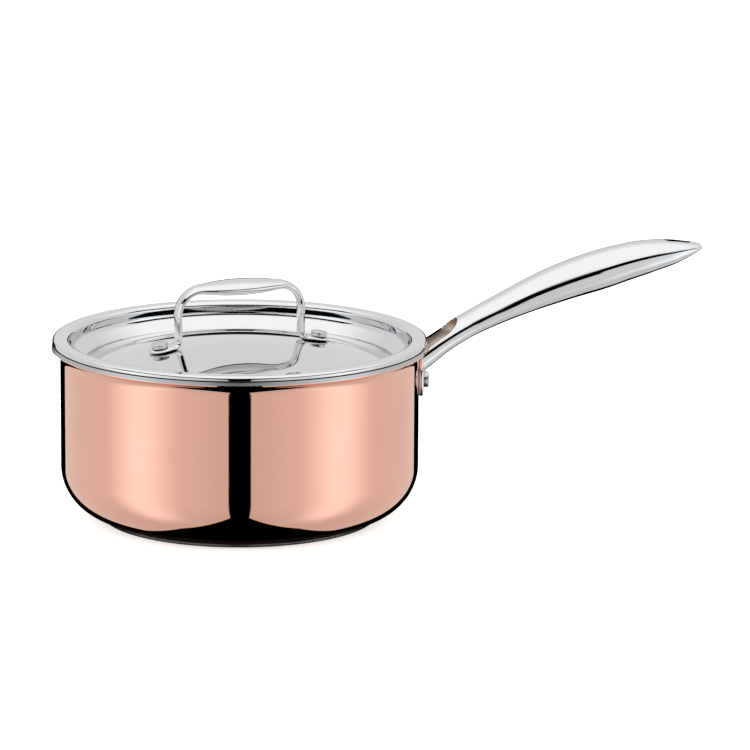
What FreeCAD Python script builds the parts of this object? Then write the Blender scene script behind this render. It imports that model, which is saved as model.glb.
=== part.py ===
import FreeCAD, Part
import math
import os
import Sketcher
from FreeCAD import Placement, Rotation, Vector

# A saucepan of three-ply sheet with a riveted hollow handle and a drop-in lid with a riveted bow.
# Frame: origin at the centre of the base, where it stands; +Z up; the long handle points along +X.
# Units: millimetres and degrees.

os.makedirs("parts", exist_ok=True)
doc = FreeCAD.newDocument("saucepan")

# ---------------------------------------------------------------- driving dimensions

DIMENSIONS = {
    # pan body, measured on its outside unless named otherwise
    "body_radius": 102.5,
    "base_thickness": 2.0,
    "base_radius": 79.3,
    "base_chamfer": 0.4,
    "corner_radius": 28.0,
    "flare_radius": 6.0,
    "flare_start": 92.6,
    "flare_angle": 80.0,
    # the three layers of the wall, outside to inside
    "copper_gauge": 0.6,
    "core_gauge": 1.4,
    "liner_gauge": 0.5,
    # rivets that hold the long handle
    "rivet_shank_radius": 2.5,
    "rivet_head_radius": 4.7,
    "rivet_head_height": 3.2,
    "rivet_tail_radius": 5.5,
    "rivet_tail_height": 1.3,
    "rivet_level": 79.3,
    "rivet_half_angle": 11.8,
    "rivet_seat_gap": 0.16,
    # root plate of the long handle, curved round the wall
    "plate_gauge": 2.8,
    "plate_half_angle": 15.6,
    "plate_low": 68.6,
    "plate_high": 91.5,
    "plate_corner": 11.0,
    # long handle
    "handle_wall": 1.8,
    "cavity_start": 140.0,
    "cavity_end": 247.0,
    "cradle_half_width": 9.2,
    "cradle_end": 131.0,
    "cradle_slope": 31.5,
    "rim_clearance": 108.3,
    "rim_clearance_low": 96.0,
    "hang_hole_length": 16.0,
    "hang_hole_width": 7.0,
    "hang_hole_centre": 259.5,
    # lid
    "lid_gauge": 0.9,
    "lid_radius": 107.0,
    "lid_top": 104.3,
    "hem_height": 3.0,
    "hem_width": 2.8,
    "hem_round": 0.8,
    "rim_round": 2.0,
    "well_radius": 96.8,
    "well_round": 3.0,
    "well_foot": 98.8,
    "shelf_round": 5.0,
    "shelf_slope": 40.0,
    "shelf_radius": 89.5,
    "shelf_foot": 90.34,
    "valley_level": 88.3,
    "valley_radius": 89.2,
    "valley_width": 3.0,
    "dome_radius": 84.8,
    "dome_edge": 91.2,
    "dome_sphere": 330.0,
    "dome_flat": 2.0,
    # bow on the lid
    "bow_turn": 8.0,
    "bow_rivet_half_span": 47.9,
    "bow_seat_gap": 0.06,
    "bow_leg_half_span": 37.2,
    "bow_leg_half_width": 4.5,
    "bow_leg_half_gauge": 1.9,
    "bow_top": 137.8,
    "bow_corner": 14.0,
    "bow_grip_half_width": 12.2,
    "bow_grip_half_gauge": 4.6,
    "pad_gauge": 2.5,
    "pad_radius": 6.9,
    "bow_shank_radius": 2.0,
    "bow_head_radius": 4.7,
    "bow_head_height": 3.0,
    "bow_tail_radius": 4.5,
    "bow_tail_height": 1.2,
}

sheet = doc.addObject("Spreadsheet::Sheet", "Sizes")
for row, (alias, number) in enumerate(DIMENSIONS.items(), start=1):
    sheet.set("A%d" % row, alias)
    sheet.set("B%d" % row, str(number))
    sheet.setAlias("B%d" % row, alias)
doc.recompute()


class Size:
    """A number together with the sheet formula that gives it."""

    def __init__(self, number, formula=None):
        self.number = float(number)
        self.formula = formula if formula is not None else "%r" % float(number)

    def join(self, sign, other, number):
        return Size(number, "(%s %s %s)" % (self.formula, sign, other.formula))

    def __add__(self, other):
        other = as_size(other)
        return self.join("+", other, self.number + other.number)

    def __sub__(self, other):
        other = as_size(other)
        return self.join("-", other, self.number - other.number)

    def __mul__(self, other):
        other = as_size(other)
        return self.join("*", other, self.number * other.number)

    def root(self):
        return Size(math.sqrt(self.number), "sqrt(%s)" % self.formula)

    def cosine(self):
        return Size(math.cos(math.radians(self.number)), "cos(%s)" % self.formula)

    def sine(self):
        return Size(math.sin(math.radians(self.number)), "sin(%s)" % self.formula)


def as_size(value):
    return value if isinstance(value, Size) else Size(value)


def size(alias):
    return Size(sheet.get(alias), "Sizes.%s" % alias)


def number(alias):
    return float(sheet.get(alias))


# ---------------------------------------------------------------- sketch and feature helpers

def plane_of(body, role):
    return next(f for f in body.Origin.OriginFeatures if f.Role == role)


def arc_through(start, end, radius, clockwise):
    """Arc of less than half a turn from start to end, and its centre side."""
    chord = end - start
    rise = math.sqrt(max(radius * radius - chord.Length ** 2 / 4, 0))
    side = Vector(-chord.y, chord.x, 0).normalize()
    centre = (start + end) * 0.5 + side * (-rise if clockwise else rise)
    first = math.atan2(start.y - centre.y, start.x - centre.x)
    last = math.atan2(end.y - centre.y, end.x - centre.x)
    circle = Part.Circle(centre, Vector(0, 0, 1), radius)
    if clockwise:
        return Part.ArcOfCircle(circle, last, first)
    return Part.ArcOfCircle(circle, first, last)


def outline(body, name, corners, role="XZ_Plane"):
    """Closed sketch through corners (x, y) or (x, y, radius, turn).

    A corner with a radius starts an arc to the next corner; turn is "left" or "right".
    Every corner and radius is bound to the sheet.
    """
    sketch = body.newObject("Sketcher::SketchObject", name)
    sketch.AttachmentSupport = [(plane_of(body, role), "")]
    sketch.MapMode = "FlatFace"
    points = [Vector(as_size(c[0]).number, as_size(c[1]).number, 0) for c in corners]
    ends = []
    for index, corner in enumerate(corners):
        start, end = points[index], points[(index + 1) % len(corners)]
        if len(corner) == 4:
            clockwise = corner[3] == "right"
            edge = arc_through(start, end, as_size(corner[2]).number, clockwise)
            ends.append((2, 1) if clockwise else (1, 2))
        else:
            edge = Part.LineSegment(start, end)
            ends.append((1, 2))
        sketch.addGeometry(edge, False)
    for index in range(len(corners)):
        after = (index + 1) % len(corners)
        sketch.addConstraint(Sketcher.Constraint("Coincident", index, ends[index][1], after, ends[after][0]))
    for index, corner in enumerate(corners):
        for kind, value, axis in (("DistanceX", corner[0], -2), ("DistanceY", corner[1], -1)):
            value = as_size(value)
            if abs(value.number) < 1e-9:
                fixed = Sketcher.Constraint("PointOnObject", index, ends[index][0], axis)
                sketch.addConstraint(fixed)
                continue
            place = sketch.addConstraint(
                Sketcher.Constraint(kind, -1, 1, index, ends[index][0], value.number))
            sketch.setExpression("Constraints[%d]" % place, value.formula)
        if len(corner) == 4:
            value = as_size(corner[2])
            place = sketch.addConstraint(Sketcher.Constraint("Radius", index, value.number))
            sketch.setExpression("Constraints[%d]" % place, value.formula)
    return sketch


def new_body(label):
    body = doc.addObject("PartDesign::Body", label)
    body.Label = label
    return body


def turned(body, corners, name="Profile"):
    """Solid of revolution of a closed outline about the body's Z axis."""
    sketch = outline(body, name, corners)
    turn = body.newObject("PartDesign::Revolution", name + "Turn")
    turn.Profile = sketch
    turn.ReferenceAxis = (sketch, ["V_Axis"])
    turn.Angle = 360
    sketch.Visibility = False
    return turn


def drilled(body, name, radius, length, placement):
    """Round hole through a body: radius and length are sheet sizes."""
    hole = body.newObject("PartDesign::SubtractiveCylinder", name)
    hole.Radius = radius.number
    hole.Height = length.number
    hole.setExpression("Radius", radius.formula)
    hole.setExpression("Height", length.formula)
    hole.Placement = placement
    return hole


def radial(angle, distance, level):
    """Placement whose Z axis runs outwards along the radius at this angle."""
    out = Vector(math.cos(math.radians(angle)), math.sin(math.radians(angle)), 0)
    return Placement(out * distance + Vector(0, 0, level), Rotation(Vector(0, 0, 1), out))


# ---------------------------------------------------------------- three-ply pan body

corner_centre_r = size("body_radius") - size("corner_radius")
corner_centre_z = size("base_thickness") + size("corner_radius")
flare_centre_r = size("body_radius") + size("flare_radius")
rivet_angles = {"near": -number("rivet_half_angle"), "far": number("rivet_half_angle")}


def layer(label, outer_depth, inner_depth):
    """One sheet of the wall, between two depths below the outer surface."""
    flare_cos = size("flare_angle").cosine()
    flare_sin = size("flare_angle").sine()

    def rim(depth):
        reach = size("flare_radius") + depth
        return flare_centre_r - reach * flare_cos, size("flare_start") + reach * flare_sin

    def wall(depth):
        return size("body_radius") - depth

    def floor(depth):
        return size("base_thickness") + depth

    outer_rim, inner_rim = rim(outer_depth), rim(inner_depth)
    corners = [
        (0, floor(outer_depth)),
        (corner_centre_r, floor(outer_depth), size("corner_radius") - outer_depth, "left"),
        (wall(outer_depth), corner_centre_z),
        (wall(outer_depth), size("flare_start"), size("flare_radius") + outer_depth, "right"),
        outer_rim,
        (inner_rim[0], inner_rim[1], size("flare_radius") + inner_depth, "left"),
        (wall(inner_depth), size("flare_start")),
        (wall(inner_depth), corner_centre_z, size("corner_radius") - inner_depth, "right"),
        (corner_centre_r, floor(inner_depth)),
        (0, floor(inner_depth)),
    ]
    body = new_body(label)
    turned(body, corners)
    for name, angle in rivet_angles.items():
        place = radial(angle, number("body_radius") - 10, number("rivet_level"))
        drilled(body, "RivetHole_" + name, size("rivet_shank_radius"), Size(20), place)
    return body


copper_depth = Size(0)
core_depth = size("copper_gauge")
liner_depth = core_depth + size("core_gauge")
inner_depth = liner_depth + size("liner_gauge")

copper = layer("copper_outer_shell", copper_depth, core_depth)
core = layer("aluminium_core", core_depth, liner_depth)
liner = layer("steel_liner", liner_depth, inner_depth)

# Induction disc bonded under the copper, broken at both edges.
disc = new_body("induction_base_disc")
turned(disc, [
    (0, 0),
    (size("base_radius") - size("base_chamfer"), 0),
    (size("base_radius"), size("base_chamfer")),
    (size("base_radius"), size("base_thickness") - size("base_chamfer")),
    (size("base_radius") - size("base_chamfer"), size("base_thickness")),
    (0, size("base_thickness")),
])

# ---------------------------------------------------------------- rivets

def rivet(label, shank_radius, grip, head_radius, head_height, tail_radius, tail_height):
    """Rivet about Z: domed head above z = 0, shank down to -grip, flat domed tail below."""
    edge = Size(0.8)
    flat = Size(0.4)
    body = new_body(label)
    crown = head_radius * 2.2
    turned(body, [
        (0, Size(0) - grip - tail_height),
        (tail_radius - edge, Size(0) - grip - tail_height + edge * 0.4, edge, "left"),
        (tail_radius, Size(0) - grip),
        (shank_radius, Size(0) - grip),
        (shank_radius, 0),
        (head_radius, 0),
        (head_radius, head_height - edge * 1.2, edge, "left"),
        (head_radius - edge, head_height - edge * 0.4, crown, "left"),
        (flat, head_height),
        (0, head_height),
    ])
    return body


wall_gauge = size("copper_gauge") + size("core_gauge") + size("liner_gauge")
plate_outer = size("body_radius") + size("plate_gauge")
for name, angle in rivet_angles.items():
    grip = wall_gauge + size("plate_gauge") + size("rivet_seat_gap")
    body = rivet("handle_rivet_" + name, size("rivet_shank_radius"), grip,
                 size("rivet_head_radius"), size("rivet_head_height"),
                 size("rivet_tail_radius"), size("rivet_tail_height"))
    body.Placement = radial(angle, plate_outer.number, number("rivet_level"))


# ---------------------------------------------------------------- lid

well_inner = size("well_radius")
well_outer = well_inner + size("lid_gauge")
well_top = size("lid_top") - size("well_round")
round_inner = size("well_round") - size("lid_gauge")
under_rim = size("lid_top") - size("lid_gauge")
hem_inner = size("lid_radius") - size("hem_width")
hem_low = size("lid_top") - size("hem_height")
shelf_sine = size("shelf_slope").sine()
shelf_cosine = size("shelf_slope").cosine()
sphere = size("dome_sphere")
dome_top = size("dome_edge") + sphere - (sphere * sphere - size("dome_radius") * size("dome_radius")).root()
under_sphere = sphere - size("lid_gauge")
valley_in = size("valley_radius") - size("valley_width")
shelf_bend = size("shelf_round")
under_bend = shelf_bend + size("lid_gauge")
half_gauge = size("lid_gauge") * 0.5


def shelf_start(bend):
    """Where the round at the foot of the well meets the sloped shelf, for a bend radius."""
    return well_inner - shelf_bend + bend * shelf_sine, size("well_foot") - bend * shelf_cosine


lid = new_body("lid_plate")
turned(lid, [
    (0, dome_top - size("lid_gauge")),
    (0, dome_top),
    (size("dome_flat"), dome_top, sphere, "right"),
    (size("dome_radius"), size("dome_edge")),
    (valley_in, size("valley_level")),
    (size("valley_radius"), size("valley_level")),
    (size("shelf_radius"), size("shelf_foot")),
    (*shelf_start(shelf_bend), shelf_bend, "left"),
    (well_inner, size("well_foot")),
    (well_inner, well_top, size("well_round"), "right"),
    (well_inner + size("well_round"), size("lid_top")),
    (size("lid_radius") - size("rim_round"), size("lid_top"), size("rim_round"), "right"),
    (size("lid_radius"), size("lid_top") - size("rim_round")),
    (size("lid_radius"), hem_low + size("hem_round"), size("hem_round"), "right"),
    (size("lid_radius") - size("hem_round"), hem_low),
    (hem_inner, hem_low),
    (hem_inner, under_rim),
    (well_inner + size("well_round"), under_rim, round_inner, "left"),
    (well_outer, well_top),
    (well_outer, size("well_foot"), under_bend, "right"),
    shelf_start(under_bend),
    (size("shelf_radius") + size("lid_gauge"), size("shelf_foot") - half_gauge),
    (size("valley_radius") + size("lid_gauge"), size("valley_level") - size("lid_gauge")),
    (valley_in - half_gauge, size("valley_level") - size("lid_gauge")),
    (size("dome_radius") - half_gauge, size("dome_edge") - size("lid_gauge"), under_sphere, "left"),
    (size("dome_flat"), dome_top - size("lid_gauge")),
])


def on_bow(span, lean=0.0):
    """Placement on the bow's line: span mm from the lid's axis, Z leaning with the dome."""
    turn = Rotation(Vector(0, 0, 1), number("bow_turn"))
    radius = number("dome_sphere")
    level = dome_top.number - radius + math.sqrt(radius ** 2 - span ** 2)
    tilt = Rotation(Vector(0, 1, 0), math.degrees(math.asin(span / radius)) + lean)
    return Placement(turn.multVec(Vector(span, 0, 0)) + Vector(0, 0, level), turn * tilt)


bow_spans = {"left": -number("bow_rivet_half_span"), "right": number("bow_rivet_half_span")}
for name, span in bow_spans.items():
    drilled(lid, "RivetHole_" + name, size("bow_shank_radius"), Size(10),
            on_bow(span) * Placement(Vector(0, 0, -5), Rotation()))


# Bow rivets pass through pad and lid; their tails are inside the lid.
lid_grip = size("pad_gauge") + size("lid_gauge") + size("bow_seat_gap")
for name, span in bow_spans.items():
    body = rivet("lid_rivet_" + name, size("bow_shank_radius"), lid_grip,
                 size("bow_head_radius"), size("bow_head_height"),
                 size("bow_tail_radius"), size("bow_tail_height"))
    body.Placement = on_bow(span) * Placement(Vector(0, 0, number("pad_gauge")), Rotation())

# ---------------------------------------------------------------- lofted pieces

def part_object(kind, name, placement=None, **sizes):
    """Part primitive whose named properties are bound to sheet sizes."""
    made = doc.addObject(kind, name)
    for field, value in sizes.items():
        value = as_size(value)
        setattr(made, field, value.number)
        made.setExpression(field, value.formula)
    if placement is not None:
        made.Placement = placement
    return made


def boolean(kind, name, base, tool):
    made = doc.addObject(kind, name)
    made.Base = base
    made.Tool = tool
    return made


def fused(name, shapes):
    made = doc.addObject("Part::MultiFuse", name)
    made.Shapes = shapes
    return made


def oval_loft(name, stations, trim=0.0):
    """Loft of ovals (place, half width, half height) with a skin taken off each."""
    ovals = []
    for index, (place, half_width, half_height) in enumerate(stations):
        ovals.append(part_object("Part::Ellipse", "%s_oval_%d" % (name, index), place,
                                 MajorRadius=as_size(half_width) - trim,
                                 MinorRadius=as_size(half_height) - trim))
    loft = doc.addObject("Part::Loft", name)
    loft.Sections = ovals
    loft.Solid = True
    loft.Ruled = False
    return loft


def across(point, tangent, side):
    """Placement with Z along the tangent and X along the side direction."""
    z = Vector(tangent).normalize()
    x = Vector(side).normalize()
    return Placement(point, Rotation(x, z.cross(x), z, "ZXY"))


# Bow: feet on the dome, upright legs, round corners and a grip that is widest at its middle.
leg = number("bow_leg_half_span")
bend = number("bow_corner")
crest = number("bow_top") - number("bow_grip_half_gauge")
corner_sweep = 83.0
corner_level = crest - bend * math.sin(math.radians(corner_sweep))
bow_turn = Placement(Vector(), Rotation(Vector(0, 0, 1), number("bow_turn")))
leg_width, leg_gauge = size("bow_leg_half_width"), size("bow_leg_half_gauge")
grip_width, grip_gauge = size("bow_grip_half_width"), size("bow_grip_half_gauge")


def blend(first, last, share):
    """Size a share of the way from first to last."""
    return first + (last - first) * share


def bow_station(flat, level, lean, share):
    """Oval across the bow's line; lean is the line's angle, share how much of it is grip."""
    ahead = Vector(math.cos(math.radians(lean)), 0, math.sin(math.radians(lean)))
    place = bow_turn * across(Vector(flat, 0, level), ahead, Vector(0, 1, 0))
    return place, blend(leg_width, grip_width, share), blend(leg_gauge, grip_gauge, share)


def bow_half(sign):
    """Stations from a foot up to the grip on one side: sign is -1 or 1."""
    foot = on_bow(sign * leg).Base.z + number("pad_gauge") / 2
    rows = [bow_station(sign * leg, level, -sign * 90, 0)
            for level in (foot, (foot + corner_level) / 2, corner_level)]
    for angle, share in ((corner_sweep / 3, 0.03), (corner_sweep * 2 / 3, 0.12), (corner_sweep, 0.3)):
        turn = math.radians(angle)
        rows.append(bow_station(sign * (leg - bend + bend * math.cos(turn)),
                                corner_level + bend * math.sin(turn), -sign * (90 - angle), share))
    rows.append(bow_station(sign * leg / 3, crest, 0, 0.82))
    return rows


bow_line = bow_half(-1) + [bow_station(0, crest, 0, 1)] + bow_half(1)[::-1]
bow_shapes = [oval_loft("BowLoft", bow_line)]

dome_centre = Placement(Vector(0, 0, dome_top.number - sphere.number), Rotation())
for name, span in bow_spans.items():
    foot_end = math.copysign(leg - leg_gauge.number, span)
    post = part_object("Part::Cylinder", "PadRound_" + name,
                       bow_turn * Placement(Vector(span, 0, 90), Rotation()),
                       Radius=size("pad_radius"), Height=Size(20))
    neck_low = min(span, foot_end)
    neck = part_object("Part::Box", "PadNeck_" + name,
                       bow_turn * Placement(Vector(neck_low, -leg_width.number, 90), Rotation()),
                       Length=abs(span - foot_end), Width=leg_width * 2, Height=Size(20))
    skin = boolean("Part::Cut", "PadSkin_" + name,
                   part_object("Part::Sphere", "PadTop_" + name, dome_centre,
                               Radius=sphere + size("pad_gauge")),
                   part_object("Part::Sphere", "PadFloor_" + name, dome_centre, Radius=sphere))
    bow_shapes.append(boolean("Part::Common", "Pad_" + name, fused("PadPlan_" + name, [post, neck]), skin))
bow = fused("BowWhole", bow_shapes)
for name, span in bow_spans.items():
    shank = part_object("Part::Cylinder", "BowHole_" + name,
                        on_bow(span) * Placement(Vector(0, 0, -5), Rotation()),
                        Radius=size("bow_shank_radius"), Height=Size(15))
    bow = boolean("Part::Cut", "BowDrilled_" + name, bow, shank)
bow.Label = "lid_bow_handle"

# ---------------------------------------------------------------- long handle

# Stations of the handle's line: reach from the axis, level, half width, half height.
HANDLE = [
    (97.0, 82.0, 12.6, 8.4),
    (108.0, 89.6, 12.0, 8.0),
    (119.0, 96.7, 11.2, 7.1),
    (133.0, 104.5, 10.6, 6.8),
    (154.0, 114.1, 12.0, 7.8),
    (183.0, 125.5, 14.5, 10.2),
    (212.0, 134.2, 15.8, 11.5),
    (238.0, 140.5, 14.8, 10.0),
    (256.0, 143.3, 12.0, 7.4),
    (268.0, 145.1, 8.2, 3.8),
    (274.0, 146.0, 4.2, 1.6),
]
for index, (reach, level, half_width, half_height) in enumerate(HANDLE):
    row = len(DIMENSIONS) + 2 * index + 1
    for offset, (alias, value) in enumerate((("width", half_width), ("height", half_height))):
        sheet.set("A%d" % (row + offset), "handle_%s_%d" % (alias, index))
        sheet.set("B%d" % (row + offset), str(value))
        sheet.setAlias("B%d" % (row + offset), "handle_%s_%d" % (alias, index))
doc.recompute()


def handle_place(index):
    before, after = HANDLE[max(index - 1, 0)], HANDLE[min(index + 1, len(HANDLE) - 1)]
    tangent = Vector(after[0] - before[0], 0, after[1] - before[1])
    return across(Vector(HANDLE[index][0], 0, HANDLE[index][1]), tangent, Vector(0, 1, 0))


def between(reach):
    """Place and sizes part of the way between two stations."""
    index = next(i for i in range(len(HANDLE) - 1) if HANDLE[i + 1][0] >= reach)
    share = (reach - HANDLE[index][0]) / (HANDLE[index + 1][0] - HANDLE[index][0])
    first, last = handle_place(index), handle_place(index + 1)
    point = first.Base + (last.Base - first.Base) * share
    tangents = [place.Rotation.multVec(Vector(0, 0, 1)) for place in (first, last)]
    tangent = tangents[0] * (1 - share) + tangents[1] * share
    half_width = blend(size("handle_width_%d" % index), size("handle_width_%d" % (index + 1)), share)
    half_height = blend(size("handle_height_%d" % index), size("handle_height_%d" % (index + 1)), share)
    return across(point, tangent, Vector(0, 1, 0)), half_width, half_height


stations = [(handle_place(i), size("handle_width_%d" % i), size("handle_height_%d" % i))
            for i in range(len(HANDLE))]
wall = size("handle_wall")
tube = oval_loft("HandleOuter", stations)
cavity_rows = [between(number("cavity_start"))] + stations[4:8] + [between(number("cavity_end"))]
cavity = oval_loft("HandleCavity", cavity_rows, wall)
trough = oval_loft("CradleTrough", stations[:3] + [between(number("cradle_end") - 3)], wall)

# Root plate: a band of the cylinder round the wall, with rounded corners.
plate_half = plate_outer * size("plate_half_angle").sine()
blank = part_object("Part::Box", "PlateBlank",
                    Placement(Vector(90, -plate_half.number, number("plate_low")), Rotation()),
                    Length=Size(20), Width=plate_half * 2, Height=size("plate_high") - size("plate_low"))
doc.recompute()
rounded = doc.addObject("Part::Fillet", "PlateRounded")
rounded.Base = blank
long_edges = [i + 1 for i, edge in enumerate(blank.Shape.Edges)
              if abs(edge.tangentAt(edge.FirstParameter).x) > 0.9]
rounded.Edges = [(i, number("plate_corner"), number("plate_corner")) for i in long_edges]
round_wall = part_object("Part::Cylinder", "PlateOuter", Radius=plate_outer, Height=Size(110))
plate = boolean("Part::Common", "RootPlate", rounded, round_wall)
whole = fused("HandleWhole", [tube, plate])

pan_wall = part_object("Part::Cylinder", "PanWall", Radius=size("body_radius"), Height=Size(110))
rim_room = part_object("Part::Cylinder", "RimRoom",
                       Placement(Vector(0, 0, number("rim_clearance_low")), Rotation()),
                       Radius=size("rim_clearance"), Height=Size(30))

# The cradle is open on top: a slot with a round end, cut square to the handle's slope.
slope = number("cradle_slope")
slot_turn = Rotation(Vector(0, 1, 0), -slope)
slot_radius = size("cradle_half_width")
end_place = between(number("cradle_end") - slot_radius.number * math.cos(math.radians(slope)))[0].Base
slot_end = part_object("Part::Cylinder", "SlotEnd", Placement(end_place, slot_turn),
                       Radius=slot_radius, Height=Size(30))
slot_back = end_place + slot_turn.multVec(Vector(-40, -slot_radius.number, 0))
slot_run = part_object("Part::Box", "SlotRun", Placement(slot_back, slot_turn),
                       Length=Size(40), Width=slot_radius * 2, Height=Size(30))

# Hanging hole: a slot with round ends straight down through the solid tip.
hole_radius = size("hang_hole_width") * 0.5
hole_half = (size("hang_hole_length") - size("hang_hole_width")) * 0.5
hole_parts = [part_object("Part::Box", "HangRun",
                          Placement(Vector(number("hang_hole_centre") - hole_half.number,
                                           -hole_radius.number, 120), Rotation()),
                          Length=hole_half * 2, Width=hole_radius * 2, Height=Size(50))]
for name, sign in (("In", -1), ("Out", 1)):
    at = Vector(number("hang_hole_centre") + sign * hole_half.number, 0, 120)
    hole_parts.append(part_object("Part::Cylinder", "Hang" + name, Placement(at, Rotation()),
                                  Radius=hole_radius, Height=Size(50)))

tools = [pan_wall, rim_room, cavity, trough, slot_end, slot_run, fused("HangHole", hole_parts)]
for name, angle in rivet_angles.items():
    tools.append(part_object("Part::Cylinder", "PlateHole_" + name,
                             radial(angle, number("body_radius") - 5, number("rivet_level")),
                             Radius=size("rivet_shank_radius"), Height=Size(20)))
for index, tool in enumerate(tools):
    whole = boolean("Part::Cut", "HandleCut_%d" % index, whole, tool)
whole.Label = "pan_handle"

# ---------------------------------------------------------------- check and write

doc.recompute()
NODES = ["copper_outer_shell", "aluminium_core", "steel_liner", "induction_base_disc", "pan_handle",
         "handle_rivet_near", "handle_rivet_far", "lid_plate", "lid_bow_handle",
         "lid_rivet_left", "lid_rivet_right"]
faults = [o.Label for o in doc.Objects if "Invalid" in o.State or "Error" in o.State]
if faults:
    raise RuntimeError("failed objects: %s" % ", ".join(faults))
for label in NODES:
    shape = doc.getObjectsByLabel(label)[0].Shape
    if shape.isNull() or not shape.isValid() or shape.Volume <= 0:
        raise RuntimeError("bad shape: " + label)
    print("%-22s solids %d  volume %9.1f mm3  z %.2f to %.2f" % (
        label, len(shape.Solids), shape.Volume, shape.BoundBox.ZMin, shape.BoundBox.ZMax))
    shape.exportStep("parts/%s.step" % label)
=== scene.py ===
import math

import bpy
from mathutils import Matrix, Vector


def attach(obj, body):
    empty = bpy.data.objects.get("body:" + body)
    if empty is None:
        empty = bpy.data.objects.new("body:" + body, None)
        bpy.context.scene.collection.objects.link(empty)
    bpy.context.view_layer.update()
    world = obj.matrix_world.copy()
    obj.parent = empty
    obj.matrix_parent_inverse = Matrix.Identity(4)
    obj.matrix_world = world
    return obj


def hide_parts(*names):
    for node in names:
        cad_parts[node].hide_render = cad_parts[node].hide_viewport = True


# A three-ply copper saucepan with a drop-in steel lid, in metres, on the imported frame.
# Each piece is modelled in place: turned pieces from an outline, bars from a tube bent along a line.

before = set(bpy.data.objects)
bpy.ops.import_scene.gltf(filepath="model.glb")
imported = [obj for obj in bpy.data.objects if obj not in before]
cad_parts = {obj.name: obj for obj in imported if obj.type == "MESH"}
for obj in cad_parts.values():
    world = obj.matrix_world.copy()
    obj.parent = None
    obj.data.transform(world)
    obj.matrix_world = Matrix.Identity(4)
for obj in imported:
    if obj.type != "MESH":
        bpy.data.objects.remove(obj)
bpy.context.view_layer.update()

MM = 0.001
TURN_STEPS = 256
SMOOTH_ANGLE = math.radians(32)

# ---------------------------------------------------------------- sizes, in millimetres

BODY_RADIUS = 102.5
BASE_GAUGE = 2.0
BASE_RADIUS = 79.3
CORNER_RADIUS = 28.0
FLARE_RADIUS = 6.0
FLARE_START = 92.6
FLARE_ANGLE = 80.0
COPPER_GAUGE = 0.6
CORE_GAUGE = 1.4
LINER_GAUGE = 0.5

LID_GAUGE = 0.9
LID_RADIUS = 107.0
LID_TOP = 104.3
HEM_HEIGHT = 3.0
HEM_WIDTH = 2.8
HEM_ROUND = 0.8
RIM_ROUND = 2.0
WELL_RADIUS = 96.8
WELL_ROUND = 3.0
WELL_FOOT = 98.8
SHELF_ROUND = 5.0
SHELF_SLOPE = 40.0
SHELF_RADIUS = 89.5
VALLEY_RADIUS = 89.2
VALLEY_LEVEL = 88.3
VALLEY_WIDTH = 3.0
DOME_RADIUS = 84.8
DOME_EDGE = 91.2
DOME_SPHERE = 330.0

RIVET_LEVEL = 79.3
RIVET_HALF_ANGLE = 11.8
PLATE_GAUGE = 2.8
PLATE_HALF_ANGLE = 15.6
PLATE_LOW = 68.6
PLATE_HIGH = 91.5
PLATE_CORNER = 11.0
PLATE_EDGE = 1.3

BOW_TURN = 8.0
BOW_RIVET = 47.9
BOW_LEG = 37.2
BOW_TOP = 137.8
BOW_CORNER = 14.0
BOW_HEEL = 3.4
BOW_LEG_HALF = (4.5, 1.9)
BOW_GRIP_HALF = (12.2, 4.6)
BOW_ANKLE_WIDTH = 5.6
BOW_HEEL_HALF = (4.9, 1.7)
PAD_GAUGE = 2.5
PAD_RADIUS = 6.9
PAD_DIP = 0.4

# The handle's line: reach from the axis, level, half width, half height.
HANDLE = [
    (97.0, 82.0, 12.6, 8.4),
    (108.0, 89.6, 12.0, 8.0),
    (119.0, 96.7, 11.2, 7.1),
    (133.0, 104.5, 10.6, 6.8),
    (154.0, 114.1, 12.0, 7.8),
    (183.0, 125.5, 14.5, 10.2),
    (212.0, 134.2, 15.8, 11.5),
    (238.0, 140.5, 14.8, 10.0),
    (256.0, 143.3, 12.0, 7.4),
    (268.0, 145.1, 8.2, 3.8),
    (274.0, 146.0, 4.2, 1.6),
]
HANDLE_WALL = 1.8
HANDLE_ROOT = 103.7
CRADLE_END = 131.0
# The cradle's outline from root to tip: reach from the axis, share of the handle's width.
CRADLE = [(93, 1), (100, 1), (108, 1), (116, 1), (122, 0.98), (126, 0.88), (129, 0.66),
          (CRADLE_END - 0.6, 0.34), (CRADLE_END, 0.1)]
CRADLE_DEPTH = 1.6
CRADLE_LIFT = 7.0
SLOT_CENTRE = 259.5
SLOT_LENGTH = 16.0
SLOT_WIDTH = 7.0
SLOT_CUTTER_HEIGHT = 40.0

# Rivets: radius of the shank, radius and height of the head, radius and height of the hidden tail.
PLATE_RIVET = {"shank": 2.5, "head": 4.7, "head_height": 3.2, "tail": 5.5, "tail_height": 1.3}
BOW_RIVET_SIZES = {"shank": 2.0, "head": 4.7, "head_height": 3.0, "tail": 4.5, "tail_height": 1.2}
PLATE_SEAT_GAP = 0.16
BOW_SEAT_GAP = 0.06
RIVET_EDGE = 0.8
RIVET_CROWN = 4.4
RIVET_TURN_STEPS = 96

# ---------------------------------------------------------------- modelling helpers


def start_piece(name):
    """A mesh object at the origin, open in edit mode, holding one vertex at the origin."""
    bpy.ops.object.select_all(action="DESELECT")
    bpy.ops.mesh.primitive_plane_add(size=MM)
    piece = bpy.context.object
    piece.name = name
    bpy.ops.object.mode_set(mode="EDIT")
    bpy.ops.mesh.merge(type="CENTER")
    return piece


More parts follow.
